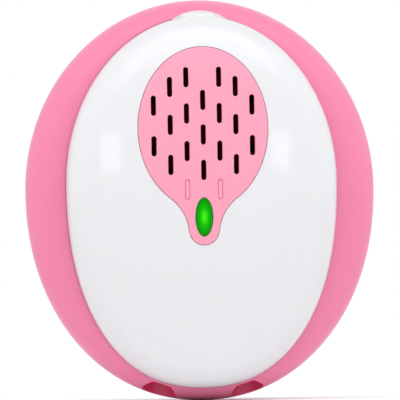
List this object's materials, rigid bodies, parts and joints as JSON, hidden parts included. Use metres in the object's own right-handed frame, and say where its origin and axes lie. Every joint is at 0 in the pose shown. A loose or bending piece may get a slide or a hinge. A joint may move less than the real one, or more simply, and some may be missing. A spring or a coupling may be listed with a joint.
{
  "type": "fetal doppler monitor",
  "caption": "Pocket fetal doppler with a pink egg-shaped case, domed white front, teardrop speaker grille, green indicator lens and volume thumbwheel.",
  "frame": {"origin": "middle of the probe's flat face on the back of the case", "axes": "+Z along the case's length towards the thumbwheel, +X across it to the user's right when facing the front, -Y out of the domed front"},
  "size_m": [0.0812, 0.0368, 0.093],
  "materials": {
    "pink_gloss": "gloss",
    "white_gloss": "gloss",
    "wheel_white": "satin",
    "lens_green": "gloss",
    "led_green": "gloss",
    "cloth_dark": "matte",
    "steel": "satin",
    "nickel": "polished",
    "membrane": "matte",
    "felt_black": "matte",
    "board_green": "satin",
    "chip_black": "matte",
    "header_white": "matte",
    "battery_wrap": "satin",
    "foam_grey": "matte",
    "probe_grey": "satin",
    "seal_black": "matte",
    "piezo": "matte",
    "epoxy": "matte",
    "jack_black": "satin",
    "wire_red": "satin",
    "wire_grey": "satin"
  },
  "bodies": {
    "case": {"rear_shell": "pink_gloss", "front_cover": "white_gloss", "speaker_grille": "pink_gloss", "dust_cloth": "cloth_dark", "led_lens": "lens_green", "signal_led": "led_green", "speaker_basket": "steel", "speaker_magnet": "nickel", "speaker_cone": "membrane", "speaker_gasket": "felt_black", "main_board": "board_green", "board_screws": "steel", "board_chips": "chip_black", "board_capacitors": "nickel", "board_crystal": "nickel", "board_connectors": "header_white", "volume_control": "steel", "battery": "battery_wrap", "battery_terminals": "nickel", "battery_contacts": "nickel", "probe_face": "probe_grey", "probe_gasket": "seal_black", "transmit_crystal": "piezo", "receive_crystal": "piezo", "probe_backing": "epoxy", "probe_shield": "steel", "earphone_jack_left": "jack_black", "earphone_jack_right": "jack_black", "jack_ferrule_left": "nickel", "jack_ferrule_right": "nickel", "jack_board": "board_green", "jack_board_screws": "steel", "case_screws": "steel", "battery_leads": "wire_red", "speaker_leads": "wire_red", "probe_cables": "wire_grey", "jack_cable": "wire_grey"},
    "door": {"battery_door": "pink_gloss", "battery_door_pad": "foam_grey"},
    "wheel": {"volume_wheel": "wheel_white", "volume_shaft": "nickel", "wheel_screw": "steel"}
  },
  "joints": [
    {"name": "volume_turn", "type": "hinge", "parent": "case", "child": "wheel", "pos_m": [0, -0.0223, 0.0601], "axis": [0, 1, 0], "range_deg": [-45, 225]},
    {"name": "battery_door_hinge", "type": "hinge", "parent": "case", "child": "door", "pos_m": [0, -0.003, 0.017], "axis": [-1, 0, 0], "range_deg": [0, 90]}
  ]
}
